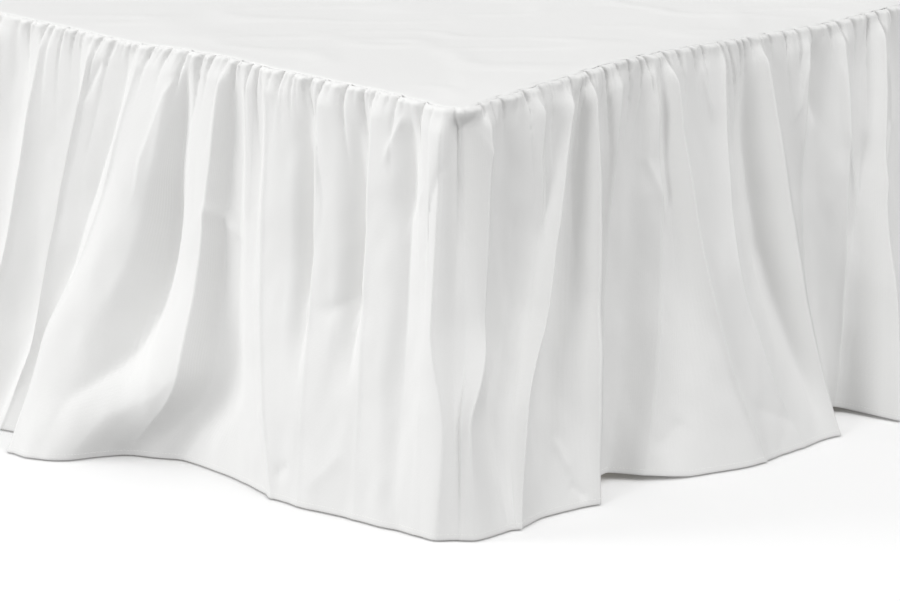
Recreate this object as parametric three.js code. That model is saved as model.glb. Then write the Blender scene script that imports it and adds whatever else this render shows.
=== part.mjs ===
// Gathered bed skirt on a divan base. A flat deck panel lies on the base and three gathered frill
// panels hang from its edge to the floor, along both long sides and the foot.
// Millimetres, +Z up, the foot of the bed towards -Y, the head end open towards +Y.
import * as THREE from "three";

// Driving dimensions: the bed
const BED_WIDTH = 900;
const BED_LENGTH = 2000;
const DROP = 517.5; // floor to the top face of the deck
const EDGE_RADIUS = 20; // plan radius of the blunt corner that the frill turns round

// Driving dimensions: the cloth
const CLOTH = 1.4;
const DECK_THICKNESS = 2;
const DECK_OVERHANG = 5; // deck edge past the sides of the base
const DECK_CORNER_EASE = 2; // extra radius that keeps the deck inside the turning frill
const HEM_CLEARANCE = 2.5; // hem above the floor
const PIECE_GAP = 0.3;
const SEAM_REACH = DECK_OVERHANG + PIECE_GAP + CLOTH / 2; // middle of the cloth at the gathered seam

// Driving dimensions: the divan base
const GLIDE_HEIGHT = 30;
const GLIDE_RADIUS = 25;
const GLIDE_TAPER = 3;
const GLIDE_INSET = 120;
const BASE_CORNER_RADIUS = 60;
const BASE_EDGE_ROUND = 12;

// Where the fold table's reaches hold, as shares of the drop from the seam (0) to the hem (1)
const SEAM_BAND = 0.006;
const HIGH = 0.06;
const HALF = 0.5;
const ROWS = [0, SEAM_BAND, 0.03, 0.08, 0.18, 0.32, 0.48, 0.65, 0.83, 1];
const STEPS_PER_FOLD = 2; // columns from one fold line to the next
const STEPS_AT_CORNER = 4;

// One ridge or valley line of the frill. The first three values are its places along the deck's edge
// at the seam, half way down and at the hem, counted from the middle of the seen corner, to the left
// below zero and along the foot above it. The next three are how far the cloth stands out from the
// side of the base just under the seam, half way down and at the hem. The last lifts the hem.
const fold = (top, mid, hem, highReach, midReach, hemReach, lift = 0) => ({
  top, mid, hem, highReach, midReach, hemReach, lift,
});

// Left side, from its far folds to the join beside the corner
const LEFT_FOLDS = [
  fold(-696, -710, -786, 18, 66, 115),
  fold(-664, -680, -742, 8, 46, 92),
  fold(-604, -626, -698, 18, 68, 112),
  fold(-578, -594, -664, 8, 50, 96),
  fold(-505, -548, -620, 20, 84, 160),
  fold(-486, -516, -604, 13, 70, 157),
  fold(-470, -500, -592, 18, 68, 156),
  fold(-437, -456, -574, 8, 50, 152),
  fold(-381, -401, -533, 18, 52, 162),
  fold(-370, -390, -484, 13, 38, 62),
  fold(-358, -378, -426, 8, 32, 55),
  fold(-334, -338, -316, 18, 44, 64),
  fold(-316, -314, -272, 10, 42, 74),
  fold(-293, -284, -232, 18, 48, 82),
  fold(-245, -232, -208, 8, 36, 79),
  fold(-208, -194, -188, 20, 46, 77),
  fold(-182, -174, -162, 11, 38, 73),
  fold(-156, -154, -136, 15, 39, 70),
  fold(-140, -135, -112, 8, 33, 66),
  fold(-104, -86, -66, 16, 38, 65),
  fold(-66, -56, -40, 8, 31, 61),
];

// The sewn join between the left panel and the foot panel
const SEEN_JOIN = fold(-26, -20, -12, 14, 33, 60);

// Round the seen corner and along the foot to the far corner
const FOOT_FOLDS = [
  fold(-8, -7, -5, 17, 36, 63),
  fold(11, 0, 0, 8, 32, 60),
  fold(28, 10, 4, 16, 33, 60),
  fold(56, 34, 7, 8, 26, 56),
  fold(80, 56, 10, 15, 30, 50),
  fold(99, 72, 12, 8, 27, 43),
  fold(113, 88, 14, 16, 32, 48),
  fold(150, 95, 16, 9, 32, 50),
  fold(168, 103, 19, 17, 36, 54),
  fold(203, 154, 94, 8, 29, 58),
  fold(218, 204, 172, 17, 42, 68),
  fold(238, 228, 208, 9, 13, 22, 4),
  fold(264, 240, 224, 18, 15, 15, 6),
  fold(300, 286, 250, 8, 9, 11, 8),
  fold(321, 338, 282, 18, 34, 46, 5),
  fold(338, 352, 330, 12, 44, 80),
  fold(352, 374, 450, 18, 60, 110),
  fold(402, 408, 488, 10, 52, 106),
  fold(458, 434, 516, 17, 56, 107),
  fold(512, 494, 556, 8, 42, 98),
  fold(536, 537, 586, 18, 62, 104),
  fold(566, 568, 632, 9, 30, 42, 4),
  fold(630, 600, 652, 17, 30, 36, 6),
  fold(652, 642, 664, 8, 27, 36, 6),
  fold(700, 690, 672, 18, 36, 40, 6),
  fold(762, 712, 680, 9, 46, 50, 4),
  fold(781, 736, 694, 18, 66, 128),
  fold(822, 790, 770, 8, 50, 98),
  fold(858, 846, 836, 17, 52, 84),
  fold(878, 876, 880, 9, 40, 62),
  fold(898, 898, 896, 16, 42, 66),
];

// The sewn join between the foot panel and the right panel
const FAR_JOIN = fold(917, 911, 904, 13, 36, 62);

// Folds of the stretches that the picture doesn't show: ridge and valley in turn, close together under
// the seam, that run out into broad uneven lobes at the hem, as on the seen side
const HIDDEN = {
  pitch: 44, // from a ridge to the next valley along the seam
  jitter: 7, // how uneven that spacing is
  midDrift: 9, // sideways run of a fold half way down
  hemDrift: 20, // and at the hem
  highReach: 13, // mean reach under the seam, half way down and at the hem
  midReach: 46,
  hemReach: 86,
  highFold: 5, // a ridge stands this far above the mean, and a valley below it
  midFold: 9,
  hemFold: 7,
  midLobe: 12, // swell of the broad lobes
  hemLobe: 34,
  settle: 3, // folds over which the run straightens at each end of the stretch
};
const unevenness = (index) => Math.sin(1.9 * index) + 0.6 * Math.sin(4.3 * index + 1);
const lobeSwell = (at) => 0.6 * Math.sin(at / 58 + 0.7) + 0.4 * Math.sin(at / 31);

function hiddenFolds(from, to) {
  const { lerp } = THREE.MathUtils;
  const count = 2 * Math.round((to.top - from.top) / HIDDEN.pitch / 2);
  const pitch = (to.top - from.top) / count;
  return Array.from({ length: count - 1 }, (_, index) => {
    const side = index % 2 ? 1 : -1; // a ridge is 1 and a valley -1
    const uneven = unevenness(index);
    const way = (index + 1) / count;
    const ends = Math.min(index + 1, count - 1 - index, HIDDEN.settle) / HIDDEN.settle;
    const drift = ends * Math.sin(0.8 * index + 0.5);
    const top = from.top + pitch * (index + 1) + HIDDEN.jitter * uneven;
    const swell = lobeSwell(top);
    return fold(
      top,
      top + lerp(from.mid - from.top, to.mid - to.top, way) + HIDDEN.midDrift * drift,
      top + lerp(from.hem - from.top, to.hem - to.top, way) + HIDDEN.hemDrift * drift,
      HIDDEN.highReach + HIDDEN.highFold * side + uneven,
      HIDDEN.midReach + HIDDEN.midLobe * swell + (HIDDEN.midFold + 2 * uneven) * side,
      HIDDEN.hemReach + HIDDEN.hemLobe * swell + (HIDDEN.hemFold + 3 * uneven) * side,
    );
  });
}

// Plan path of the base's sides
const ARC = (Math.PI / 2) * EDGE_RADIUS;
const FOOT_SPAN = BED_WIDTH - 2 * EDGE_RADIUS + ARC;
const SIDE_SPAN = BED_LENGTH - EDGE_RADIUS + ARC / 2;
const halfWidth = BED_WIDTH / 2;
const halfLength = BED_LENGTH / 2;

// A place along the edge, as its point in plan and the outward direction there
function edgeAt(at) {
  const far = at > FOOT_SPAN / 2;
  const fromCorner = far ? FOOT_SPAN - at : at; // below zero on a long side, above zero on the foot
  const turn = THREE.MathUtils.clamp((fromCorner + ARC / 2) / EDGE_RADIUS, 0, Math.PI / 2);
  const out = new THREE.Vector2(-Math.cos(turn), -Math.sin(turn));
  const point = new THREE.Vector2(EDGE_RADIUS - halfWidth, EDGE_RADIUS - halfLength);
  point.addScaledVector(out, EDGE_RADIUS);
  point.y += Math.max(0, -ARC / 2 - fromCorner);
  point.x += Math.max(0, fromCorner - ARC / 2);
  if (far) {
    point.x = -point.x;
    out.x = -out.x;
  }
  return { point, out };
}

// Monotone cubic through rising xs: it never swings past its points
function smoothCurve(xs, ys, x) {
  const last = xs.length - 1;
  const width = (i) => xs[i + 1] - xs[i];
  const rise = (i) => (ys[i + 1] - ys[i]) / width(i);
  const slope = (i) => {
    const before = rise(Math.max(i - 1, 0));
    const after = rise(Math.min(i, last - 1));
    return before * after <= 0 ? 0 : (2 * before * after) / (before + after);
  };
  let i = 0;
  while (i < last - 1 && x > xs[i + 1]) i += 1;
  const f = (x - xs[i]) / width(i);
  const ease = f * f * (3 - 2 * f);
  return ys[i] + (ys[i + 1] - ys[i]) * ease
    + width(i) * f * (1 - f) * (slope(i) * (1 - f) - slope(i + 1) * f);
}

// Place and reach of one fold line at a share of the drop
const foldAt = (line, share) => ({
  at: smoothCurve([0, HALF, 1], [line.top, line.mid, line.hem], share),
  reach: smoothCurve(
    [0, SEAM_BAND, HIGH, HALF, 1],
    [SEAM_REACH, SEAM_REACH, line.highReach, line.midReach, line.hemReach],
    share,
  ),
});

// All fold lines in order, from the open head end on the left, round the foot, to that on the right
const headEnd = (at) => fold(at, at, at, 11, 34, 62);
const leftEnd = headEnd(-SIDE_SPAN);
const rightEnd = headEnd(FOOT_SPAN + SIDE_SPAN);
const lines = [
  leftEnd,
  ...hiddenFolds(leftEnd, LEFT_FOLDS[0]),
  ...LEFT_FOLDS,
  SEEN_JOIN,
  ...FOOT_FOLDS,
  FAR_JOIN,
  ...hiddenFolds(FAR_JOIN, rightEnd),
  rightEnd,
];

// Middle of the cloth at a place counted in folds and a share of the drop
function clothPoint(count, share) {
  const first = Math.min(Math.floor(count), lines.length - 2);
  const near = lines.slice(Math.max(first - 1, 0), first + 3).map((line) => foldAt(line, share));
  const here = first > 0 ? 1 : 0;
  const part = count - first;
  const at = THREE.MathUtils.lerp(near[here].at, near[here + 1].at, part);
  const reach = smoothCurve(near.map((line) => line.at), near.map((line) => line.reach), at);
  const lift = THREE.MathUtils.lerp(lines[first].lift, lines[first + 1].lift, part);
  const { point, out } = edgeAt(at);
  const height = THREE.MathUtils.lerp(DROP, HEM_CLEARANCE + lift, share);
  return new THREE.Vector3(point.x + out.x * reach, point.y + out.y * reach, height);
}

// Counts of the columns from one fold line to another, closer together where the seam turns a corner
function columnCounts(first, last) {
  const counts = [first];
  for (let i = first; i < last; i += 1) {
    const middle = (lines[i].top + lines[i + 1].top) / 2;
    const fromCorner = Math.min(Math.abs(middle), Math.abs(middle - FOOT_SPAN));
    const steps = fromCorner < ARC ? STEPS_AT_CORNER : STEPS_PER_FOLD;
    for (let k = 1; k <= steps; k += 1) counts.push(i + k / steps);
  }
  return counts;
}

// A box's quads are split one way on its inner face and the other way on its outer one. Here the outer
// face is split as the inner one is, so that the thin wall never crosses itself where a quad is twisted.
const OUTER_FACE = 3; // the box's group of faces towards -y
function splitAlike(geometry) {
  const { start, count } = geometry.groups[OUTER_FACE];
  const index = geometry.index;
  for (let i = start; i < start + count; i += 6) {
    const [a, b, d, c] = [0, 1, 2, 4].map((k) => index.getX(i + k));
    [a, b, c, a, c, d].forEach((corner, k) => index.setX(i + k, corner));
  }
}

// One gathered panel between two lines: a closed sheet, drawn in by half a gap at each end
function frillGeometry(firstLine, lastLine) {
  const counts = columnCounts(lines.indexOf(firstLine), lines.indexOf(lastLine));
  const columns = counts.length - 1;
  const rows = ROWS.length - 1;
  const geometry = new THREE.BoxGeometry(1, 1, 1, columns, 1, rows);
  const position = geometry.attributes.position;
  const small = 1e-3; // step for the cloth's directions
  for (let i = 0; i < position.count; i += 1) {
    const column = Math.round((position.getX(i) + 0.5) * columns);
    const share = ROWS[Math.round((0.5 - position.getZ(i)) * rows)];
    const count = counts[column];
    const before = Math.max(count - small, 0);
    const after = Math.min(count + small, lines.length - 1);
    const point = clothPoint(count, share);
    const along = clothPoint(after, share).sub(clothPoint(before, share)).normalize();
    const down = clothPoint(count, Math.min(share + small, 1));
    down.sub(clothPoint(count, Math.max(share - small, 0)));
    const outward = new THREE.Vector3().crossVectors(down, along).normalize();
    point.addScaledVector(outward, -position.getY(i) * CLOTH);
    if (column === 0) point.addScaledVector(along, PIECE_GAP / 2);
    if (column === columns) point.addScaledVector(along, -PIECE_GAP / 2);
    position.setXYZ(i, point.x, point.y, point.z);
  }
  splitAlike(geometry);
  geometry.computeVertexNormals();
  return geometry;
}

// Rectangle with rounded foot corners and nearly square head corners, grown past the base's sides
function planShape(grow, footRadius, headRadius) {
  const right = halfWidth + grow;
  const foot = -halfLength - grow;
  const head = halfLength;
  const shape = new THREE.Shape();
  shape.absarc(footRadius - right, foot + footRadius, footRadius, Math.PI, 1.5 * Math.PI);
  shape.absarc(right - footRadius, foot + footRadius, footRadius, 1.5 * Math.PI, 2 * Math.PI);
  shape.absarc(right - headRadius, head - headRadius, headRadius, 0, 0.5 * Math.PI);
  shape.absarc(headRadius - right, head - headRadius, headRadius, 0.5 * Math.PI, Math.PI);
  shape.closePath();
  return shape;
}

function deckGeometry() {
  const footRadius = EDGE_RADIUS + DECK_OVERHANG + DECK_CORNER_EASE;
  const shape = planShape(DECK_OVERHANG, footRadius, DECK_OVERHANG);
  const geometry = new THREE.ExtrudeGeometry(shape, {
    depth: DECK_THICKNESS,
    bevelEnabled: false,
    curveSegments: 10,
  });
  return geometry.translate(0, 0, DROP - DECK_THICKNESS);
}

function baseGeometry() {
  const top = DROP - DECK_THICKNESS - PIECE_GAP;
  const shape = planShape(0, BASE_CORNER_RADIUS, BASE_CORNER_RADIUS);
  const geometry = new THREE.ExtrudeGeometry(shape, {
    depth: top - GLIDE_HEIGHT - 2 * BASE_EDGE_ROUND,
    bevelThickness: BASE_EDGE_ROUND,
    bevelSize: BASE_EDGE_ROUND,
    bevelOffset: -BASE_EDGE_ROUND,
    bevelSegments: 3,
    curveSegments: 6,
  });
  return geometry.translate(0, 0, GLIDE_HEIGHT + BASE_EDGE_ROUND);
}

function glideGeometry() {
  const height = GLIDE_HEIGHT - PIECE_GAP;
  const geometry = new THREE.CylinderGeometry(GLIDE_RADIUS, GLIDE_RADIUS - GLIDE_TAPER, height, 20);
  return geometry.rotateX(Math.PI / 2).translate(0, 0, height / 2);
}

const cotton = new THREE.MeshStandardMaterial({ color: "#f4f4f3", roughness: 0.92, metalness: 0 });
const ticking = new THREE.MeshStandardMaterial({ color: "#cfc9bd", roughness: 0.9, metalness: 0 });
const nylon = new THREE.MeshStandardMaterial({ color: "#2b2a28", roughness: 0.55, metalness: 0 });

const part = new THREE.Group();

function addPiece(name, geometry, material, place = [0, 0, 0]) {
  const mesh = new THREE.Mesh(geometry, material);
  mesh.name = name;
  mesh.position.set(...place);
  part.add(mesh);
}

addPiece("base", baseGeometry(), ticking);
addPiece("deck", deckGeometry(), cotton);
addPiece("frill_left", frillGeometry(leftEnd, SEEN_JOIN), cotton);
addPiece("frill_foot", frillGeometry(SEEN_JOIN, FAR_JOIN), cotton);
addPiece("frill_right", frillGeometry(FAR_JOIN, rightEnd), cotton);
for (const [end, alongBed] of [["foot", -1], ["head", 1]]) {
  for (const [side, across] of [["left", -1], ["right", 1]]) {
    const x = across * (halfWidth - GLIDE_INSET);
    const y = alongBed * (halfLength - GLIDE_INSET);
    addPiece(`glide_${end}_${side}`, glideGeometry(), nylon, [x, y, 0]);
  }
}

// The origin is under the middle of the whole part, folds included
const middle = new THREE.Box3().setFromObject(part, true).getCenter(new THREE.Vector3());
part.position.set(-middle.x, -middle.y, 0);

export default part;
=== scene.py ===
# Gathered bed skirt on a divan base: cotton deck and frill, their stitching, the base and the stage.
# Blender works in metres. The cloth's own tables are in millimetres, as a maker writes them down.
import math
from collections import namedtuple

import bmesh
import bpy
import numpy as np
from bpy.props import FloatProperty, FloatVectorProperty, IntProperty, PointerProperty
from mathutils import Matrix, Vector


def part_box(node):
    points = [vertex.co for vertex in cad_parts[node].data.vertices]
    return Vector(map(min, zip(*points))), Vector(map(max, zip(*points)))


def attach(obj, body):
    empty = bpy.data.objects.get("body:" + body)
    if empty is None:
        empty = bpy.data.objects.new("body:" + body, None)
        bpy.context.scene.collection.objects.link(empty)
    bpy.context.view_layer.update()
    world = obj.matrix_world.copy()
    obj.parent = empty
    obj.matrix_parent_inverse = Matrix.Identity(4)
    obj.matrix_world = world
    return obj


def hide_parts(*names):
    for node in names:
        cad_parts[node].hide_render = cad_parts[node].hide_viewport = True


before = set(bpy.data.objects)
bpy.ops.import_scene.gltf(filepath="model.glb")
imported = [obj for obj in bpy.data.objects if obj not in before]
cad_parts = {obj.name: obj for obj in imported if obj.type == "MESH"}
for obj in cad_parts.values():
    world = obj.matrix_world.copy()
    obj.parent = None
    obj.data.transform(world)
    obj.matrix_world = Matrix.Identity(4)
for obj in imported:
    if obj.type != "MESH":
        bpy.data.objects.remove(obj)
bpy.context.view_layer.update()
BASE_LOW, BASE_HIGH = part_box("base")
GLIDES = [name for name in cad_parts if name.startswith("glide_")]

bl_info = {
    "name": "Gathered bed skirt",
    "version": (1, 0, 0),
    "blender": (4, 5, 0),
    "location": "3D View > Sidebar > Bed skirt",
    "description": "Builds a gathered cotton bed skirt on its divan base, from a table of its folds",
    "category": "Object",
}

MM = 0.001

# Plan of the bed and heights, in millimetres
HALF_WIDTH = (BASE_HIGH.x - BASE_LOW.x) / 2 / MM
HALF_LENGTH = (BASE_HIGH.y - BASE_LOW.y) / 2 / MM
MIDDLE = np.array([*((BASE_LOW + BASE_HIGH) / 2).xy, 0])
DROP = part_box("deck")[1].z / MM
EDGE_RADIUS = 20
ARC = math.pi / 2 * EDGE_RADIUS
FOOT_SPAN = 2 * HALF_WIDTH - 2 * EDGE_RADIUS + ARC
SIDE_SPAN = 2 * HALF_LENGTH - EDGE_RADIUS + ARC / 2

# How the cloth sits at the seam and the hem, in millimetres
DECK_OVERHANG = 5.0
DECK_ROLL = 1.4
SEAM_REACH = 5.8
SEAM_DOWN = 1.6
SEAM_TUCK = 2.2
SEAM_ROLL = 1.8
HEM_CLEARANCE = 2.5
# Least room behind the cloth, its softness, and how much less a corner needs over what run of edge
BASE_CLEARANCE = 2.4
CLEARANCE_EASE = 3
CORNER_ROOM = 16
CORNER_RUN = 25
# Groove along the sewn join of two panels
JOIN_DEPTH = 0.5
JOIN_SPREAD = 1.8
# Fewest faces in a row of hem stitches
LEAST_FACES = 1000

# Small gathers as a share of the main ones, and their length, then how far all gathers lean away from the
# seen corner, over what run of edge and what depth
SMALL_GATHER = 0.4
SMALL_LENGTH = 17.0
GATHER_LEAN = 11
LEAN_RUN = 80
LEAN_DEPTH = 14

# Uneven fall of the cloth: height of its swells, the depth at which they are full, their width and length
Swell = namedtuple("Swell", "height full width length")
SWELLS = [Swell(2.4, 160, 46, 95), Swell(0.9, 120, 17, 34)]
SWELL_START = 30

# Cloth to each length of seam, mean spacing of the hidden folds, and widths of the mesh's columns
FULLNESS = 1.3
HIDDEN_PITCH = 44
FINE_COLUMN = 1.9
COARSE_COLUMN = 5.0

# Divan base: radius of its corners, rounding of its edges, fall of its top near the edge and over what run,
# rings on its top inwards from the edge, and the place, depth and spread of its welts' grooves
BASE_CORNER = 60.0
BASE_ROUNDING = 20.0
BASE_CROWN = 8.0
CROWN_RUN = 70.0
TOP_RINGS = (220, 160, 115, 80, 55, 35)
WELT_PLACE = 22
WELT_DEPTH = 1.6
WELT_SPREAD = 2.5

# Camera from the foot of the seen corner, in metres
CAMERA_PLACE = Vector((-3.192, -2.946, 1.454))
# Lamps, in degrees: direction round from square on to the seen long side, height above level and spread
Lamp = namedtuple("Lamp", "name azimuth height spread")
LAMPS = [
    Lamp("key", -10, 14, 20), Lamp("side", 48, 14, 30), Lamp("fill", -102, 34, 50), Lamp("top", 0, 88, 70),
]

# Shares of the drop at which the fold table's reaches hold
SEAM_BAND = 0.01
HIGH = 0.06
HALF = 0.5
# Late station, and the share of its lower swing that a fold has made there
LATE = 0.75
SWING = 0.34

# One ridge or valley line of the frill, in millimetres: its places along the deck's edge at the seam, half
# way down and at the hem, from the middle of the seen corner (left side below zero, foot above it), then
# how far the cloth stands out from the base just under the seam, half way down and at the hem, the height
# of its thin crest (below zero, how sharply a valley is pinched), the lift of the hem, and, where they
# aren't as usual, its reach and its place three quarters of the way down. High crests have keen ridges, and
# a crest spreads by these shares of the crest width to its right and left.
KEEN_CREST = 3
CREST_RIGHT = 0.45
CREST_LEFT = 0.9
Fold = namedtuple("Fold", "top mid hem high half low crest lift late turn", defaults=(0, 0, None, None))

LEFT_FOLDS = [
    Fold(-696, -710, -786, 18, 70, 115, 3),
    Fold(-630, -652, -722, 7, 42, 90, -1),
    Fold(-604, -630, -690, 18, 66, 112, 4, 0, 93, -642),
    Fold(-540, -592, -652, 7, 52, 106, -1, 0, 82, -624),
    Fold(-512, -574, -606, 18, 60, 172, 2, 0, 108, -608),
    Fold(-480, -543, -582, 17, 68, 172, 0, 0, 118, -592),
    Fold(-452, -502, -552, 19, 60, 162, 0, 0, 110, -546),
    Fold(-432, -461, -528, 4, 20, 144, -0.8, 0, 70, -470),
    Fold(-416, -438, -508, 10, 30, 104, 0, 0, 75, -440),
    Fold(-370, -388, -489, 18, 44, 76, 2, 0, 72, -394),
    Fold(-352, -368, -455, 6, 16, 60, 0, 0, 36, -369),
    Fold(-344, -344, -418, 7, 17, 44, 0, 0, 28, -345),
    Fold(-332, -320, -350, 16, 28, 48, 0, 0, 42, -312),
    Fold(-306, -300, -252, 9, 34, 70),
    Fold(-293, -278, -232, 18, 44, 80, 2),
    Fold(-262, -238, -220, 14, 44, 79),
    Fold(-222, -208, -200, 6, 27, 77, -1.4, 0, 62),
    Fold(-206, -194, -188, 19, 45, 77, 1),
    Fold(-184, -164, -160, 15, 44, 74),
    Fold(-134, -131, -122, 6, 24, 69, -1.4, 0, 57),
    Fold(-116, -112, -102, 18, 41, 68, 1),
    Fold(-92, -84, -66, 14, 40, 66),
    Fold(-60, -52, -38, 6, 28, 61, -1.2),
]
SEEN_JOIN = Fold(-24, -15, -12, 15, 37, 60)
FOOT_FOLDS = [
    Fold(-10, -11, -7, 16, 40, 64, 3, 0, 54, -5),
    Fold(-2, -2, -3, -12, 13, 60, 0, 0, 45, -2),
    Fold(10, 7, 0, -12, 7, 59, 0, 0, 43, 0),
    Fold(30, 20, 4, 17, 14, 61, 6, 0, 48, 3),
    Fold(66, 58, 14, 6, 8, 55, 0, 0, 24, 17),
    Fold(88, 77, 19, 12, 4, 55, 0, 0, 22, 28),
    Fold(112, 91, 25, 17, 9, 56, 0, 0, 27, 39),
    Fold(146, 102, 30, 13, 19, 58, 0, 0, 36, 48),
    Fold(176, 110, 37, 18, 33, 60, 8, 0, 48, 54),
    Fold(200, 152, 84, 5, 7, 54, 0, 0, 23, 122),
    Fold(206, 176, 142, 10, 20, 60, 0, 0, 36, 154),
    Fold(212, 191, 172, 18, 48, 68, 8, 0, 62, 174),
    Fold(238, 228, 208, 8, 11, 20, 0, 4),
    Fold(264, 240, 224, 17, 14, 14, 2, 6),
    Fold(300, 286, 250, 6, 8, 11, 0, 8),
    Fold(321, 332, 282, 18, 24, 46, 3, 5),
    Fold(336, 349, 330, 9, 32, 80),
    Fold(349, 368, 440, 19, 60, 111, 9),
    Fold(410, 412, 488, 11, 59, 110),
    Fold(458, 436, 520, 17, 60, 110, 3),
    Fold(508, 519, 560, 5, 26, 106, 0, 0, 58, 543),
    Fold(532, 549, 592, 20, 62, 108, 9, 0, 82, 563),
    Fold(560, 560, 632, 9, 30, 42, 0, 4),
    Fold(630, 600, 652, 17, 32, 36, 3, 6),
    Fold(652, 642, 664, 6, 25, 36, 0, 6),
    Fold(700, 690, 672, 18, 38, 40, 4, 6),
    Fold(762, 712, 680, 8, 42, 50, 0, 4),
    Fold(781, 736, 694, 18, 66, 128, 5),
    Fold(822, 790, 770, 7, 46, 98),
    Fold(858, 846, 836, 17, 54, 84, 3),
    Fold(878, 876, 880, 8, 38, 62),
    Fold(898, 898, 896, 16, 42, 66, 3),
]
FAR_JOIN = Fold(917, 911, 904, 13, 36, 62)
LEFT_END = Fold(*[-SIDE_SPAN] * 3, 11, 34, 62)
RIGHT_END = Fold(*[FOOT_SPAN + SIDE_SPAN] * 3, 11, 34, 62)

# Rise and fall of the deck's edge, in millimetres: place along the edge, height above the flat deck
EDGE_WAVE = [
    (-900, 0), (-774, -1), (-662, -2), (-547, -5), (-445, -1), (-389, 0), (-310, -2), (-228, -3),
    (-96, -5), (-30, -8), (0, -9), (40, -6), (94, -2), (162, 1), (286, 7), (350, 6), (436, 3),
    (507, 0), (553, -2), (624, -4), (686, -6), (742, -5), (822, -4), (917, -6), (1000, 0),
]

# Creases between the fold lines, in millimetres: how far each stands up (a trough is below zero), how far
# it spreads to its left and right, and its path downwards as places along the edge and depths.
Crease = namedtuple("Crease", "rise left right path")
CREASES = [
    Crease(-4, 7, 4, [(-586, 26), (-600, 60), (-610, 92)]),
    Crease(-17, 28, 14, [
        (-456, 150), (-461, 240), (-470, 330), (-488, 384), (-518, 420), (-544, 446), (-562, 500)]),
    Crease(3, 26, 22, [(-372, 350), (-400, 400), (-431, 429), (-490, 460), (-519, 474)]),
    Crease(3, 3, 10, [(-432, 14), (-464, 58), (-480, 104), (-492, 144), (-496, 180), (-510, 222)]),
    Crease(6, 12, 6, [(-388, 178), (-374, 194), (-358, 208), (-342, 218), (-328, 220)]),
    Crease(-19, 24, 6, [(-222, 10), (-217, 92), (-212, 151), (-208, 211), (-212, 256), (-218, 300)]),
    Crease(-16, 22, 6, [(-134, 10), (-136, 112), (-130, 196), (-134, 262), (-140, 306)]),
    Crease(-6, 15, 15, [(-124, 232), (-142, 262), (-164, 276), (-192, 276)]),
    Crease(4, 3, 8, [(-66, 15), (-86, 56), (-95, 92)]),
    Crease(-6, 18, 12, [(-60, 16), (-56, 80), (-58, 140), (-66, 180)]),
    Crease(2, 5, 7, [(-24, 96), (-44, 136), (-58, 170)]),
    Crease(4, 5, 3, [(10, 2), (22, 40), (33, 80), (33, 130), (26, 200), (22, 260)]),
    Crease(8, 7, 3, [(104, -8), (114, 30), (114, 85), (120, 140), (122, 200)]),
    Crease(-6, 24, 6, [(206, 16), (190, 90), (184, 200), (188, 330)]),
    Crease(5, 4, 12, [(321, 24), (316, 116), (314, 128), (331, 176), (350, 228)]),
    Crease(4, 3, 8, [(419, 14), (425, 60), (431, 104)]),
    Crease(4, 3, 8, [(486, 14), (484, 80), (481, 140)]),
    Crease(-8, 24, 7, [(512, 16), (512, 140), (525, 267), (540, 340), (548, 410)]),
    Crease(4, 3, 9, [(628, 30), (605, 100), (589, 132)]),
    Crease(-7, 14, 6, [(640, 20), (645, 90), (651, 144)]),
    Crease(5, 3, 10, [(693, 20), (692, 148), (707, 228), (719, 262)]),
    Crease(6, 7, 9, [(776, 24), (790, 100), (794, 152), (770, 185), (744, 217), (722, 280)]),
    Crease(-7, 18, 10, [(742, 150), (724, 210), (706, 290), (700, 340)]),
    Crease(3, 4, 7, [(722, 326), (704, 390), (689, 441)]),
    Crease(-3, 9, 9, [(337, 446), (315, 470), (292, 492)]),
    Crease(-2.5, 14, 14, [(421, 441), (480, 470), (541, 496)]),
    Crease(-3, 7, 7, [(-234, 492), (-204, 469)]),
    Crease(1.6, 9, 9, [(-120, 435), (-150, 468), (-183, 502)]),
    Crease(3, 4, 6, [(124, 430), (140, 480)]),
    Crease(-3, 6, 6, [(134, 486), (158, 511)]),
]


def hidden_folds(start, end):
    """Folds of a stretch that the picture doesn't show: ridge and valley in turn, in broad lobes below."""
    count = 2 * round((end.top - start.top) / HIDDEN_PITCH / 2)
    pitch = (end.top - start.top) / count
    folds = []
    for index in range(count - 1):
        side = 1 if index % 2 else -1
        uneven = math.sin(1.9 * index) + 0.6 * math.sin(4.3 * index + 1)
        way = (index + 1) / count
        drift = min(index + 1, count - 1 - index, 3) / 3 * math.sin(0.8 * index + 0.5)
        top = start.top + pitch * (index + 1) + 7 * uneven
        swell = 0.6 * math.sin(top / 58 + 0.7) + 0.4 * math.sin(top / 31)
        mid_lean = (start.mid - start.top) * (1 - way) + (end.mid - end.top) * way
        hem_lean = (start.hem - start.top) * (1 - way) + (end.hem - end.top) * way
        folds.append(Fold(
            top,
            top + mid_lean + 9 * drift,
            top + hem_lean + 20 * drift,
            13 + 5 * side + uneven,
            46 + 12 * swell + (9 + 2 * uneven) * side,
            86 + 34 * swell + (7 + 3 * uneven) * side,
            4 if side > 0 else 0,
        ))
    return folds


FOLDS = [
    LEFT_END, *hidden_folds(LEFT_END, LEFT_FOLDS[0]), *LEFT_FOLDS, SEEN_JOIN,
    *FOOT_FOLDS, FAR_JOIN, *hidden_folds(FAR_JOIN, RIGHT_END), RIGHT_END,
]
PANELS = {
    "frill_left": (LEFT_END, SEEN_JOIN),
    "frill_foot": (SEEN_JOIN, FAR_JOIN),
    "frill_right": (FAR_JOIN, RIGHT_END),
}
# Stretch of the edge that the picture shows
SEEN_STRETCH = (-720, 930)


def linear(code):
    """sRGB hex code to linear colour."""
    parts = [int(code[k:k + 2], 16) / 255 for k in (1, 3, 5)]
    return [p / 12.92 if p <= 0.04045 else ((p + 0.055) / 1.055) ** 2.4 for p in parts]


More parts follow.
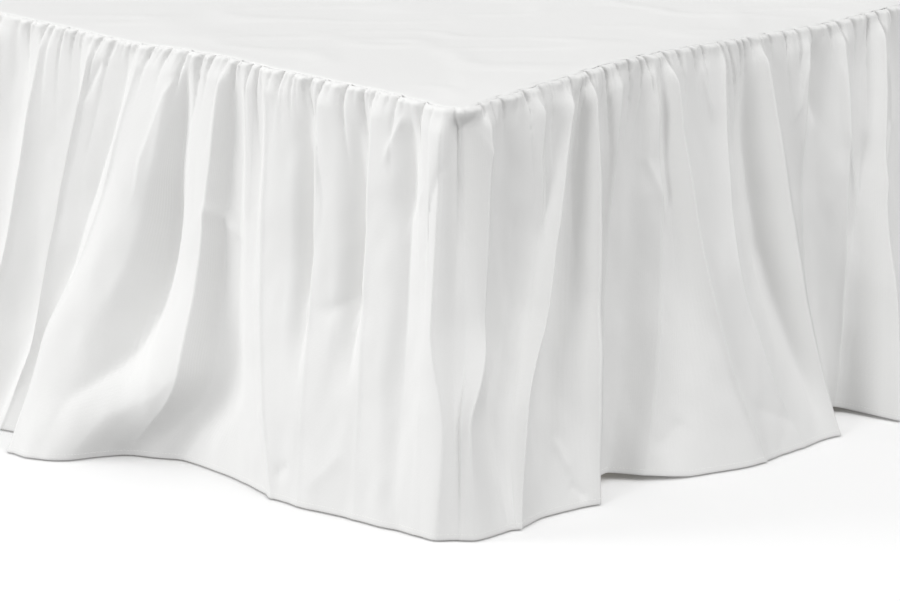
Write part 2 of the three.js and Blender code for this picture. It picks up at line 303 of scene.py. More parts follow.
class SkirtSizes(bpy.types.PropertyGroup):
    """Sizes of the cloth and its stitching"""

    cloth: FloatProperty(
        name="Cloth", description="Thickness of the cotton sheet",
        default=0.6 * MM, unit="LENGTH", subtype="DISTANCE", precision=4)
    keen: FloatProperty(
        name="Keenness", description="How sharp the high ridges are, as a share of the slopes beside them",
        default=1.5, min=0, max=3)
    crest_width: FloatProperty(
        name="Crest width", description="Spread of the thin pinched crest along each ridge",
        default=5 * MM, unit="LENGTH", subtype="DISTANCE", precision=4)
    gather_pitch: FloatProperty(
        name="Gather pitch", description="Mean width of one gather at the seam",
        default=26 * MM, unit="LENGTH", subtype="DISTANCE", precision=4)
    gather_height: FloatProperty(
        name="Gather height", description="Mean height of one gather just under the seam",
        default=6.5 * MM, unit="LENGTH", subtype="DISTANCE", precision=4)
    gather_length: FloatProperty(
        name="Gather length", description="How far down a gather runs before it fades",
        default=50 * MM, unit="LENGTH", subtype="DISTANCE")
    hem: FloatProperty(
        name="Hem", description="Depth of the sewn hem",
        default=8 * MM, unit="LENGTH", subtype="DISTANCE", precision=4)
    stitch: FloatProperty(
        name="Stitch", description="Length of one stitch",
        default=3.2 * MM, unit="LENGTH", subtype="DISTANCE", precision=4)
    stitch_gap: FloatProperty(
        name="Stitch gap", description="Gap between two stitches",
        default=1.0 * MM, unit="LENGTH", subtype="DISTANCE", precision=4)
    thread: FloatProperty(
        name="Thread", description="Thickness of the sewing thread",
        default=0.6 * MM, unit="LENGTH", subtype="DISTANCE", precision=4)
    seed: IntProperty(name="Seed", description="Fixes the chance run of the gathers", default=7)


class SkirtColours(bpy.types.PropertyGroup):
    """Colours of the finishes"""

    cotton: FloatVectorProperty(
        name="Cotton", description="Bleached cotton of the deck and frill",
        default=linear("#eaeae9"), subtype="COLOR", min=0, max=1)
    thread: FloatVectorProperty(
        name="Thread", description="Sewing thread",
        default=linear("#f6f6f4"), subtype="COLOR", min=0, max=1)
    ticking: FloatVectorProperty(
        name="Ticking", description="Woven cover of the divan base",
        default=linear("#cfc9bd"), subtype="COLOR", min=0, max=1)
    nylon: FloatVectorProperty(
        name="Nylon", description="Moulded glides under the base",
        default=linear("#2b2a28"), subtype="COLOR", min=0, max=1)
    floor: FloatVectorProperty(
        name="Floor", description="Pale studio floor",
        default=linear("#fdfdfd"), subtype="COLOR", min=0, max=1)


class SkirtStage(bpy.types.PropertyGroup):
    """Camera and light"""

    azimuth: FloatProperty(
        name="Azimuth", description="Direction of view, turned from +Y towards +X",
        default=math.radians(47.16), unit="ROTATION", subtype="ANGLE")
    elevation: FloatProperty(
        name="Elevation", description="Height of the view above level",
        default=math.radians(15.15), unit="ROTATION", subtype="ANGLE")
    lens: FloatProperty(
        name="Lens", description="Focal length on a 36 mm sensor, in millimetres", default=154.64)
    sky: FloatProperty(name="Sky", description="Strength of the white surround", default=0.38)
    key: FloatProperty(name="Key", description="Strength of the light on the seen long side", default=0.95)
    side: FloatProperty(name="Side", description="Strength of the light from the far left", default=1.45)
    fill: FloatProperty(name="Fill", description="Strength of the soft light on the foot", default=1.25)
    top: FloatProperty(name="Top", description="Strength of the soft light from above", default=0.75)


def monotone(xs, ys, x, keen=0):
    """Cubic through rising xs that never swings past its points: round at its tops and bottoms, or keen
    there, with that share of the straight slopes beside them."""
    xs = np.asarray(xs, float)
    ys = np.asarray(ys, float)
    width = np.diff(xs)
    rise = np.diff(ys) / width
    before = np.concatenate([rise[:1], rise])
    after = np.concatenate([rise, rise[-1:]])
    both = before * after
    slope = np.where(both > 0, 2 * both / np.where(both > 0, before + after, 1), 0)
    steep = np.maximum(np.maximum(abs(before), abs(after)), 1e-9)
    shallow = np.where(both < 0, np.minimum(abs(before), abs(after)), 0)
    sharp = keen * np.minimum(1, 2 * shallow / steep)
    into = slope + sharp * before
    out = slope + sharp * after
    cell = np.clip(np.searchsorted(xs, x, side="right") - 1, 0, len(width) - 1)
    f = np.clip((x - xs[cell]) / width[cell], 0, 1)
    smooth = f * f * (3 - 2 * f)
    bend = width[cell] * f * (1 - f) * (out[cell] * (1 - f) - into[cell + 1] * f)
    return ys[cell] + (ys[cell + 1] - ys[cell]) * smooth + bend


def ease(low, high, x):
    """Smooth step from 0 at low to 1 at high."""
    f = np.clip((x - low) / (high - low), 0, 1)
    return f * f * (3 - 2 * f)


def ripple(seed, x, y):
    """Smooth seeded unevenness between -1 and 1, one swell to each unit of x and y."""
    wide, deep = 61, 67
    lattice = np.random.default_rng(seed).uniform(-1, 1, (wide, deep))
    x, y = np.broadcast_arrays(np.asarray(x, float), np.asarray(y, float))
    i, j = np.floor(x).astype(int), np.floor(y).astype(int)
    u, v = ease(0, 1, x - i), ease(0, 1, y - j)
    i, i_next = i % wide, (i + 1) % wide
    j, j_next = j % deep, (j + 1) % deep
    near = lattice[i, j] * (1 - u) + lattice[i_next, j] * u
    far = lattice[i, j_next] * (1 - u) + lattice[i_next, j_next] * u
    return near * (1 - v) + far * v


def edge_path(at):
    """Places along the deck's edge as points in plan and outward directions, from the bed's middle."""
    at = np.asarray(at, float)
    far = at > FOOT_SPAN / 2
    run = np.where(far, FOOT_SPAN - at, at)
    turn = np.clip((run + ARC / 2) / EDGE_RADIUS, 0, math.pi / 2)
    out_x, out_y = -np.cos(turn), -np.sin(turn)
    x = EDGE_RADIUS - HALF_WIDTH + EDGE_RADIUS * out_x + np.maximum(0, run - ARC / 2)
    y = EDGE_RADIUS - HALF_LENGTH + EDGE_RADIUS * out_y + np.maximum(0, -ARC / 2 - run)
    mirror = np.where(far, -1, 1)
    return x * mirror, y, out_x * mirror, out_y


def edge_wave(at):
    """Height of the deck's edge above the flat deck."""
    places, rises = zip(*EDGE_WAVE)
    return monotone(places, rises, np.clip(at, places[0], places[-1]))


def gathers(sizes, seam_at, drop):
    """Small round gathers under the seam with pinched valleys, each fading at its own depth."""
    total = 0
    runs = (sizes.seed, 1, sizes.gather_length / MM), (sizes.seed + 4, SMALL_GATHER, SMALL_LENGTH)
    for seed, share, length in runs:
        pitch, height = share * sizes.gather_pitch / MM, share * sizes.gather_height / MM
        chance = np.random.default_rng(seed)
        count = int((FOOT_SPAN + 2 * SIDE_SPAN) / pitch) + 20
        widths = pitch * chance.uniform(0.4, 1.6, count)
        bounds = -SIDE_SPAN - 40 + np.concatenate([[0], np.cumsum(widths)])
        heights = height * chance.uniform(0.5, 1.3, count) * (widths / pitch) ** 0.5
        lengths = length * np.exp(chance.normal(0, 0.5, count))
        lean = GATHER_LEAN * np.tanh(seam_at / LEAN_RUN) * (1 - np.exp((SEAM_DOWN - drop) / LEAN_DEPTH))
        place = seam_at - lean + 0.14 * drop * ripple(seed + 1, seam_at / 60, drop / 140)
        cell = np.clip(np.searchsorted(bounds, place, side="right") - 1, 0, count - 1)
        across = np.minimum(np.abs(2 * (place - bounds[cell]) / widths[cell] - 1), 1)
        rise = 0.7 + 0.3 * ease(0, 5, drop - SEAM_DOWN)
        fall = np.exp(-(drop / lengths[cell]) ** 1.6)
        total = total + heights[cell] * (1 - across ** 3.6 - 0.4 * across ** 12) * rise * fall
    return total


def frill_columns(name):
    """Counts of a panel's columns in fold lines: close together where the picture shows them."""
    first, last = [FOLDS.index(end) for end in PANELS[name]]
    counts = [float(first)]
    for index in range(first, last):
        one, two = FOLDS[index], FOLDS[index + 1]
        middle = (one.top + two.top) / 2
        step = FINE_COLUMN if SEEN_STRETCH[0] < middle < SEEN_STRETCH[1] else COARSE_COLUMN
        reach = math.hypot(two.hem - one.hem, two.low - one.low)
        steps = max(2, math.ceil(max(two.top - one.top, 0.6 * reach) / step))
        counts += [index + (k + 1) / steps for k in range(steps)]
    return np.array(counts)


def frill_rows():
    """Depths of the rows below the deck's top: closest at the seam and at the hem."""
    return np.concatenate([
        SEAM_DOWN + np.array([0, 0.05, 0.2, 0.5, 1.0, 1.7, 2.8, 4.4, 6.4]),
        np.arange(12.5, 60, 2.4),
        np.arange(60, 200, 4.0),
        np.arange(200, DROP - 27, 5.6),
        np.linspace(DROP - 25, DROP, 9),
    ])


def fold_lines(shares):
    """Places along the edge and reaches of all fold lines, lines by rows."""
    stations = [0, SEAM_BAND, HIGH, HALF, LATE, 1]
    turns = [f.mid + SWING * (f.hem - f.mid) if f.turn is None else f.turn for f in FOLDS]
    places = [
        monotone([0, HALF, LATE, 1], [f.top, f.mid, turn, f.hem], shares) for f, turn in zip(FOLDS, turns)]
    lates = [(f.half + f.low) / 2 if f.late is None else f.late for f in FOLDS]
    reaches = [
        monotone(stations, [SEAM_REACH, SEAM_REACH + 1, f.high, f.half, late, f.low], shares)
        for f, late in zip(FOLDS, lates)]
    return np.array(places), np.array(reaches)


def crest(distance, height, width):
    """A thin pinched ridge: steep beside its line and soon flat."""
    radius = 1.2
    return height * np.exp(-(np.sqrt(distance ** 2 + radius ** 2) - radius) / width)


def creases(at, drop):
    """Sum of the creases, each fading towards both ends of its path."""
    total = np.zeros(at.shape)
    for fold in CREASES:
        path = np.array(fold.path, float)
        spread = 4 * max(fold.left, fold.right)
        low, high = path.min(0) - spread, path.max(0) + spread
        near = (at > low[0]) & (at < high[0]) & (drop > low[1]) & (drop < high[1])
        a, d = at[near], drop[near]
        steps = np.diff(path, axis=0)
        lengths = np.hypot(*steps.T)
        starts = np.concatenate([[0], np.cumsum(lengths)])
        best = np.full(a.shape, np.inf)
        way = np.zeros(a.shape)
        side = np.zeros(a.shape)
        for point, step, length, start in zip(path, steps, lengths, starts):
            t = np.clip(((a - point[0]) * step[0] + (d - point[1]) * step[1]) / length ** 2, 0, 1)
            off_a, off_d = a - point[0] - t * step[0], d - point[1] - t * step[1]
            gap = np.hypot(off_a, off_d)
            closer = gap < best
            best = np.where(closer, gap, best)
            way = np.where(closer, (start + t * length) / starts[-1], way)
            side = np.where(closer, step[0] * off_d - step[1] * off_a, side)
        fade = ease(0, 0.25, way) * ease(0, 0.35, 1 - way)
        total[near] += fade * crest(best, fold.rise, np.where(side > 0, fold.left, fold.right))
    return total


def level_line(points, drops, drop):
    """Line of points across the frill at one depth."""
    row = np.interp(drop, drops, np.arange(len(drops)))
    low = min(int(row), len(drops) - 2)
    return points[low] + (row - low) * (points[low + 1] - points[low])


def outward(line):
    """Level directions out from the base, square to a line across the frill."""
    along = np.gradient(line[:, :2], axis=0)
    along = along / np.linalg.norm(along, axis=1)[:, None]
    return np.stack([along[:, 1], -along[:, 0], np.zeros(len(along))], -1)


def hem_turn(points, drops, hem):
    """Rows of the hem's turning, up inside the foot of the frill, and their depths along the cloth."""
    # Each row: height above the hem's edge, place inside the outer face, dip, and cloth used past the edge
    rows = [
        (0, 0.4, 0.5, 0.6), (0, 1.0, 0.5, 1.2), (0.4, 1.5, 0, 2.0), (1.2, 1.6, 0, 3.0),
        (0.5 * hem, 1.6, 0, 1 + 0.5 * hem), (hem, 1.4, 0, 1 + hem),
    ]
    out = outward(points[-1])
    down = np.array([0, 0, 1])
    turned = [
        level_line(points, drops, DROP - up) - inside * out - dip * down for up, inside, dip, _ in rows]
    return turned, DROP + np.array([past for *_, past in rows])


def frill_surface(sizes, name, drops):
    """Outer face of a frill panel, rows by columns, and its place in the flat cloth, in metres."""
    counts = frill_columns(name)
    shares = (drops - SEAM_DOWN) / (DROP - SEAM_DOWN)
    places, reaches = fold_lines(shares)
    numbers = np.arange(len(FOLDS))
    seam_at = np.interp(counts, numbers, [f.top for f in FOLDS])
    lift = np.interp(counts, numbers, [f.lift for f in FOLDS])
    at = np.array([np.interp(counts, numbers, row) for row in places.T])
    drop = np.broadcast_to(drops[:, None], at.shape)
    share = np.broadcast_to(shares[:, None], at.shape)

    # Ridges stay keen nearly to the hem. Valleys soften from about half way down.
    keen = np.array([sizes.keen if f.crest >= KEEN_CREST else 0 for f in FOLDS])
    keen = keen * (1 - 0.9 * ease(0.72, 0.98, shares))[:, None]
    pinch = np.array([max(-f.crest, 0) for f in FOLDS])
    pinch = pinch * (1 - ease(0.42, 0.75, shares))[:, None]
    reach = np.array([monotone(*row) for row in zip(places.T, reaches.T, at, keen + pinch)])

    # Crests start below the gathers and weaken towards the hem
    first = np.minimum(counts.astype(int), len(FOLDS) - 2)
    crests = np.array([max(f.crest, 0) for f in FOLDS])
    fade = ease(8, 40, drop) * (1 - 0.6 * ease(0.75, 1, share))
    right, left = CREST_RIGHT * sizes.crest_width / MM, CREST_LEFT * sizes.crest_width / MM
    reach = reach + fade * crest(at - places.T[:, first], crests[first], right)
    reach = reach + fade * crest(places.T[:, first + 1] - at, crests[first + 1], left)
    reach = reach + creases(at, drop)

    # The base holds the cloth off, less so at its rounded corners
    to_corner = np.minimum(abs(at), abs(FOOT_SPAN - at))
    least = BASE_CLEARANCE - CORNER_ROOM * np.exp(-(to_corner / CORNER_RUN) ** 2)
    reach = least + (reach - least + np.hypot(reach - least, CLEARANCE_EASE)) / 2
    reach = reach + gathers(sizes, np.broadcast_to(seam_at, at.shape), drop)
    for seed, swell in enumerate(SWELLS, sizes.seed + 2):
        uneven = ripple(seed, at / swell.width, drop / swell.length)
        reach = reach + swell.height * ease(SWELL_START, swell.full, drop) * uneven

    # The cloth rolls in under the seam and is drawn in along the joins of the panels
    turn = np.clip((drop - SEAM_DOWN) / SEAM_ROLL, 0, 1)
    reach = reach - SEAM_TUCK * (1 - np.sqrt(1 - (1 - turn) ** 2))
    for join in (SEEN_JOIN, FAR_JOIN):
        reach = reach - JOIN_DEPTH * np.exp(-((seam_at - join.top) / JOIN_SPREAD) ** 2)
    height = DROP - drop + share * (HEM_CLEARANCE + lift)
    height = height + edge_wave(seam_at) * (1 - ease(0, 0.4, share))
    x, y, out_x, out_y = edge_path(at)
    points = np.stack([x + out_x * reach, y + out_y * reach, height], -1)
    turned, past = hem_turn(points, drops, sizes.hem / MM)
    points = np.concatenate([points, turned]) * MM + MIDDLE
    depth = np.concatenate([drops, past])
    return points, np.stack(np.broadcast_arrays(FULLNESS * seam_at[None, :], -depth[:, None]), -1) * MM


def base_plan():
    """Closed path round the base: each corner's middle and the direction from it."""
    half = np.array([HALF_WIDTH, HALF_LENGTH]) - BASE_CORNER
    arcs = []
    for corner, signs in enumerate(((1, 1), (-1, 1), (-1, -1), (1, -1))):
        turns = np.linspace(0, math.pi / 2, 13) + corner * math.pi / 2
        arcs.append(np.array([(*(signs * half), math.cos(turn), math.sin(turn)) for turn in turns]))
    path = []
    for arc, after in zip(arcs, arcs[1:] + arcs[:1]):
        path += [arc, arc[-1] + np.outer(np.linspace(0, 1, 14)[1:-1], after[0] - arc[-1])]
    return np.concatenate(path + [arcs[0][:1]])


def crown_fall(inset):
    """Fall of the base's top below its crown, at a place inwards from the edge."""
    return BASE_CROWN * (math.exp(-inset / CROWN_RUN) - math.exp(-TOP_RINGS[0] / CROWN_RUN))


def base_surface():
    """Outer face of the base in rings from its top to its underside, and its flat cover, in metres."""
    top = BASE_HIGH.z / MM
    rise = top - BASE_LOW.z / MM
    quarter = np.linspace(0, math.pi / 2, 7)
    edge = [(BASE_ROUNDING * (1 - math.sin(a)), BASE_ROUNDING * (1 - math.cos(a))) for a in quarter]
    rings = [(inset, crown_fall(inset)) for inset in TOP_RINGS]
    rings += [(inset, crown_fall(BASE_ROUNDING) + depth) for inset, depth in edge]
    start = rings[-1][1]
    rings += [(0, start + step * (rise - BASE_ROUNDING - start)) for step in np.linspace(0, 1, 26)[1:-1]]
    rings += [(inset, rise - depth) for inset, depth in reversed(edge)]
    path = base_plan()
    rows = []
    for inset, depth in rings:
        welts = (WELT_PLACE, rise - WELT_PLACE)
        pulled = WELT_DEPTH * sum(math.exp(-((depth - place) / WELT_SPREAD) ** 2) for place in welts)
        grow = max(BASE_CORNER - inset - pulled, 0)
        shrink = max(inset - BASE_CORNER, 0)
        x = path[:, 0] * (1 - shrink / (HALF_WIDTH - BASE_CORNER)) + grow * path[:, 2]
        y = path[:, 1] * (1 - shrink / (HALF_LENGTH - BASE_CORNER)) + grow * path[:, 3]
        rows.append(np.stack([x, y, np.full(len(x), top - depth)], -1))
    points = np.array(rows) * MM + MIDDLE
    run = np.concatenate([[0], np.cumsum(np.hypot(*np.diff(points[10, :, :2], axis=0).T))])
    down = np.array([depth for _, depth in rings])
    return points, np.stack(np.broadcast_arrays(run[None, :], -down[:, None] * MM), -1)


def deck_surface(sizes):
    """Upper face of the deck, rows by columns, and its place in the flat cloth, in metres."""
    near = np.array([0, 0.8, 1.6, 2.6, 3.8, 5.2, 7, 9.5, 13, 18, 25, 33, 42])
    width, length = HALF_WIDTH + DECK_OVERHANG, 2 * HALF_LENGTH + DECK_OVERHANG
    across = np.linspace(near[-1], 2 * width - near[-1], 92)[1:-1]
    across = np.concatenate([near, across, 2 * width - near[::-1]]) - width
    down = np.linspace(near[-1], length - 12, 200)[1:-1]
    down = np.concatenate([near, down, length - np.array([12, 8, 5, 3, 1.5, 0.5])])
    radius = EDGE_RADIUS + DECK_OVERHANG
    inset = radius - np.sqrt(np.maximum(radius ** 2 - np.maximum(radius - down, 0) ** 2, 0))
    x = across[None, :] / width * (width - inset[:, None])
    y = np.broadcast_to(down[:, None], x.shape)

    # Distance from the edge, and the place along it
    from_side = width - np.abs(x)
    corner_x = np.maximum(radius - from_side, 0)
    corner_y = np.maximum(radius - y, 0)
    rounded = (corner_x > 0) & (corner_y > 0)
    to_edge = np.where(rounded, radius - np.hypot(corner_x, corner_y), np.minimum(from_side, y))
    to_edge = np.maximum(to_edge, 0)
    turn = np.arctan2(corner_y, np.maximum(corner_x, 1e-6))
    straight = np.where(from_side < y, -(y - radius) - ARC / 2, from_side - radius + ARC / 2)
    run = np.where(rounded, turn * EDGE_RADIUS - ARC / 2, straight)
    at = np.where(x > 0, FOOT_SPAN - run, run)

    # The edge's own rise or fall, its roll over the seam and the pull of the gathers
    wave = edge_wave(at)
    height = DROP + wave * np.exp(-to_edge / np.where(wave > 0, 30, 90))
    height = height - DECK_ROLL * np.clip(1 - to_edge / DECK_ROLL / 1.5, 0, 1) ** 2
    pucker = gathers(sizes, at, np.full(at.shape, SEAM_DOWN))
    height = height - np.maximum(2.4 - 0.5 * pucker, 0.6) * np.exp(-to_edge / 4)

    # Slight hollows, and soft wrinkles across the direction of view
    height = height + 0.5 * (1 + ripple(31, x / 85, y / 60)) * ease(4, 60, to_edge)
    along, athwart = 0.68 * x - 0.73 * y, 0.73 * x + 0.68 * y
    wrinkle = np.maximum(0, 0.75 - np.abs(ripple(32, along / 130, athwart / 52)) * 3)
    height = height + 2.4 * wrinkle * ease(6, 50, to_edge)
    out_x, out_y = edge_path(at)[2:]
    bulge = 0.8 * pucker * np.exp(-to_edge / 5)
    plan_y = y - HALF_LENGTH - DECK_OVERHANG + bulge * out_y
    points = np.stack([x + bulge * out_x, plan_y, height], -1) * MM
    return points + MIDDLE, np.stack([x, y], -1) * MM


def sheet_object(name, points, flat, material):
    """Mesh of rows and columns with the flat cloth's own UV map, both in metres."""
    rows, columns = points.shape[:2]
    corner = (np.arange(rows - 1)[:, None] * columns + np.arange(columns - 1)[None, :]).ravel()
    faces = np.stack([corner, corner + columns, corner + columns + 1, corner + 1], -1)
    mesh = bpy.data.meshes.new(name)
    mesh.from_pydata(points.reshape(-1, 3).tolist(), [], faces.tolist())
    mesh.uv_layers.new(name="cloth").data.foreach_set(
        "uv", flat.reshape(-1, 2)[faces.ravel()].astype(np.float32).ravel())
    mesh.materials.append(material)
    mesh.shade_smooth()
    piece = bpy.data.objects.new(name, mesh)
    bpy.context.scene.collection.objects.link(piece)
    return piece


def finished(piece):
    """The piece with its modifiers applied."""
    seen = piece.evaluated_get(bpy.context.evaluated_depsgraph_get())
    mesh = bpy.data.meshes.new_from_object(seen)
    piece.modifiers.clear()
    piece.data = mesh
    mesh.name = piece.name
    return piece


def closed_tube(piece):
    """Joins the two edges of a sheet that runs once round and closes its top and bottom."""
    form = bmesh.new()
    form.from_mesh(piece.data)
    bmesh.ops.remove_doubles(form, verts=form.verts, dist=0.01 * MM)
    rims = [edge for edge in form.edges if edge.is_boundary]
    lids = bmesh.ops.holes_fill(form, edges=rims, sides=0)["faces"]
    bmesh.ops.recalc_face_normals(form, faces=form.faces)
    cloth = form.loops.layers.uv["cloth"]
    for lid in lids:
        for loop in lid.loops:
            loop[cloth].uv = loop.vert.co.xy
    form.to_mesh(piece.data)
    form.free()
    return piece


def thicken(piece, thickness):
    """Gives a sheet its thickness, inwards from its outer face."""
    solid = piece.modifiers.new("thickness", "SOLIDIFY")
    solid.thickness = thickness
    solid.offset = -1
    solid.use_even_offset = False
    return finished(piece)


def node(tree, kind, values=None, **settings):
    """Adds a node with its settings; an input takes a plain value or another node's output."""
    made = tree.nodes.new(kind)
    for name, value in settings.items():
        setattr(made, name, value)
    for name, value in (values or {}).items():
        socket = made.inputs[name]
        if isinstance(value, bpy.types.NodeSocket):
            tree.links.new(value, socket)
        else:
            socket.default_value = value
    return made


def stitch_row(thread):
    """Node tree that lays stitches of a thread end to end along a path."""
    tree = bpy.data.node_groups.new("stitch_row", "GeometryNodeTree")
    tree.interface.new_socket("Path", in_out="INPUT", socket_type="NodeSocketGeometry")
    for name in ("Stitch", "Gap", "Thread"):
        tree.interface.new_socket(name, in_out="INPUT", socket_type="NodeSocketFloat")
    tree.interface.new_socket("Stitches", in_out="OUTPUT", socket_type="NodeSocketGeometry")
    given = node(tree, "NodeGroupInput").outputs
    path = node(tree, "GeometryNodeMeshToCurve", {"Mesh": given["Path"]}).outputs["Curve"]
    pitch = node(tree, "ShaderNodeMath", {0: given["Stitch"], 1: given["Gap"]}, operation="ADD")
    places = node(tree, "GeometryNodeCurveToPoints", {
        "Curve": path, "Length": pitch.outputs["Value"]}, mode="LENGTH").outputs
    stitch = node(tree, "GeometryNodeMeshUVSphere", {"Segments": 6, "Rings": 4, "Radius": 0.5})
    size = node(tree, "ShaderNodeCombineXYZ", {
        "X": given["Thread"], "Y": given["Thread"], "Z": given["Stitch"]})
    turn = node(tree, "FunctionNodeAlignRotationToVector", {"Vector": places["Tangent"]}, axis="Z")
    row = node(tree, "GeometryNodeInstanceOnPoints", {
        "Points": places["Points"], "Instance": stitch.outputs["Mesh"],
        "Rotation": turn.outputs["Rotation"], "Scale": size.outputs["Vector"]})
    solid = node(tree, "GeometryNodeRealizeInstances", {"Geometry": row.outputs["Instances"]})
    done = node(tree, "GeometryNodeSetMaterial", {
        "Geometry": solid.outputs["Geometry"], "Material": thread})
    node(tree, "NodeGroupOutput", {"Stitches": done.outputs["Geometry"]})
    return tree


def new_material(name):
    """An empty node material and its tree."""
    made = bpy.data.materials.new(name)
    made.use_nodes = True
    made.node_tree.nodes.clear()
    return made, made.node_tree


def band_scale(pitch):
    """Scale of Blender's wave bands for one band to each pitch, in metres."""
    return 2 * math.pi / 20 / pitch


def cotton_percale(colour):
    """Bleached cotton percale, plain woven and pressed: matt, close and even, with faint slubs along the
    threads. Threads lie 0.25 mm apart, too fine to show here, so they are drawn at 1.5 mm."""
    material, tree = new_material("cotton_percale")
    cloth = node(tree, "ShaderNodeUVMap", uv_map="cloth").outputs["UV"]
    warp, weft = [node(tree, "ShaderNodeTexWave", {
        "Vector": cloth, "Scale": band_scale(1.5 * MM), "Distortion": 1.5, "Detail": 1.0,
    }, bands_direction=axis).outputs["Fac"] for axis in "XY"]
    weave = node(tree, "ShaderNodeMath", {0: warp, 1: weft}, operation="ADD")
    slub_place = node(tree, "ShaderNodeMapping", {
        "Vector": cloth, "Scale": (1 / (26 * MM), 1 / (1.3 * MM), 1)})
    slub = node(tree, "ShaderNodeTexNoise", {
        "Vector": slub_place.outputs["Vector"], "Scale": 1.0, "Detail": 2.0})
    relief = node(tree, "ShaderNodeMath", {
        0: slub.outputs["Fac"], 1: 1.6, 2: weave.outputs["Value"]}, operation="MULTIPLY_ADD")
    bump = node(tree, "ShaderNodeBump", {
        "Strength": 0.22, "Distance": 0.25 * MM, "Height": relief.outputs["Value"]})
    cloud_place = node(tree, "ShaderNodeMapping", {
        "Vector": cloth, "Scale": (1 / (160 * MM), 1 / (160 * MM), 1)})
    cloud = node(tree, "ShaderNodeTexNoise", {
        "Vector": cloud_place.outputs["Vector"], "Scale": 1.0, "Detail": 3.0})
    tone = node(tree, "ShaderNodeMix", {
        "Factor": cloud.outputs["Fac"], "A": (*[0.97 * part for part in colour], 1), "B": (*colour, 1),
    }, data_type="RGBA")
    dull = node(tree, "ShaderNodeMapRange", {
        "Value": slub.outputs["Fac"], "To Min": 0.86, "To Max": 0.98})
    shader = node(tree, "ShaderNodeBsdfPrincipled", {
        "Base Color": tone.outputs["Result"], "Roughness": dull.outputs["Result"],
        "Normal": bump.outputs["Normal"], "Specular IOR Level": 0.2, "IOR": 1.5,
        "Sheen Weight": 0.08, "Sheen Roughness": 0.6,
    })
    node(tree, "ShaderNodeOutputMaterial", {"Surface": shader.outputs["BSDF"]})
    return material


def sewing_thread(colour):
    """Mercerised cotton sewing thread, twisted from two plies: smooth, with a slight lustre. The twist is
    0.3 mm long, too fine to show, and is drawn at 0.6 mm. Its grooves are painted a tenth darker as shade."""
    material, tree = new_material("mercerised_thread")
    place = node(tree, "ShaderNodeTexCoord").outputs["Object"]
    twist = node(tree, "ShaderNodeTexWave", {
        "Vector": place, "Scale": band_scale(0.6 * MM), "Distortion": 0.6}, bands_direction="DIAGONAL")
    bump = node(tree, "ShaderNodeBump", {
        "Strength": 0.3, "Distance": 0.1 * MM, "Height": twist.outputs["Fac"]})
    # Painted shade: the thread's colour darkens by a tenth in the twist's grooves, where the bump is lowest
    tone = node(tree, "ShaderNodeMix", {
        "Factor": twist.outputs["Fac"], "A": (*[0.9 * part for part in colour], 1), "B": (*colour, 1),
    }, data_type="RGBA")
    shader = node(tree, "ShaderNodeBsdfPrincipled", {
        "Base Color": tone.outputs["Result"], "Roughness": 0.55,
        "Normal": bump.outputs["Normal"], "IOR": 1.53, "Sheen Weight": 0.2,
    })
    node(tree, "ShaderNodeOutputMaterial", {"Surface": shader.outputs["BSDF"]})
    return material


def woven_ticking(colour):
    """Divan ticking of cotton and polyester, a close basket weave: dull, with a fine grid of threads.
    Threads lie 0.6 mm apart and are drawn at 1.8 mm to show. The gaps between them are painted darker as
    shade."""
    material, tree = new_material("woven_ticking")
    cloth = node(tree, "ShaderNodeUVMap", uv_map="cloth").outputs["UV"]
    warp, weft = [node(tree, "ShaderNodeTexWave", {
        "Vector": cloth, "Scale": band_scale(1.8 * MM), "Distortion": 1.0,
    }, bands_direction=axis).outputs["Fac"] for axis in "XY"]
    weave = node(tree, "ShaderNodeMath", {0: warp, 1: weft}, operation="MULTIPLY")
    bump = node(tree, "ShaderNodeBump", {
        "Strength": 0.3, "Distance": 0.4 * MM, "Height": weave.outputs["Value"]})
    # Painted shade: the ticking's colour darkens to 0.82 in the low gaps between threads, where the bump is
    # lowest
    tone = node(tree, "ShaderNodeMix", {
        "Factor": weave.outputs["Value"], "A": (*[0.82 * part for part in colour], 1), "B": (*colour, 1),
    }, data_type="RGBA")
    shader = node(tree, "ShaderNodeBsdfPrincipled", {
        "Base Color": tone.outputs["Result"], "Roughness": 0.92,
        "Normal": bump.outputs["Normal"], "Specular IOR Level": 0.2, "IOR": 1.5,
    })
    node(tree, "ShaderNodeOutputMaterial", {"Surface": shader.outputs["BSDF"]})
    return material


def moulded_nylon(colour):
    """Injection moulded nylon: nearly black, satin, with the fine spark grain of its mould."""
    material, tree = new_material("moulded_nylon")
    place = node(tree, "ShaderNodeTexCoord").outputs["Object"]
    grain = node(tree, "ShaderNodeTexNoise", {"Vector": place, "Scale": 1 / (0.8 * MM), "Detail": 2.0})
    bump = node(tree, "ShaderNodeBump", {
        "Strength": 0.2, "Distance": 0.1 * MM, "Height": grain.outputs["Fac"]})
    dull = node(tree, "ShaderNodeMapRange", {
        "Value": grain.outputs["Fac"], "To Min": 0.42, "To Max": 0.62})
    shader = node(tree, "ShaderNodeBsdfPrincipled", {
        "Base Color": (*colour, 1), "Roughness": dull.outputs["Result"],
        "Normal": bump.outputs["Normal"], "IOR": 1.53,
    })
    node(tree, "ShaderNodeOutputMaterial", {"Surface": shader.outputs["BSDF"]})
    return material


def painted_floor(colour):
    """Matt painted studio floor: even and almost white."""
    material, tree = new_material("painted_floor")
    place = node(tree, "ShaderNodeTexCoord").outputs["Object"]
    roller = node(tree, "ShaderNodeTexNoise", {"Vector": place, "Scale": 1 / (40 * MM), "Detail": 2.0})
    dull = node(tree, "ShaderNodeMapRange", {
        "Value": roller.outputs["Fac"], "To Min": 0.9, "To Max": 1.0})
    shader = node(tree, "ShaderNodeBsdfPrincipled", {
        "Base Color": (*colour, 1), "Roughness": dull.outputs["Result"], "Specular IOR Level": 0.1})
    node(tree, "ShaderNodeOutputMaterial", {"Surface": shader.outputs["BSDF"]})
    return material


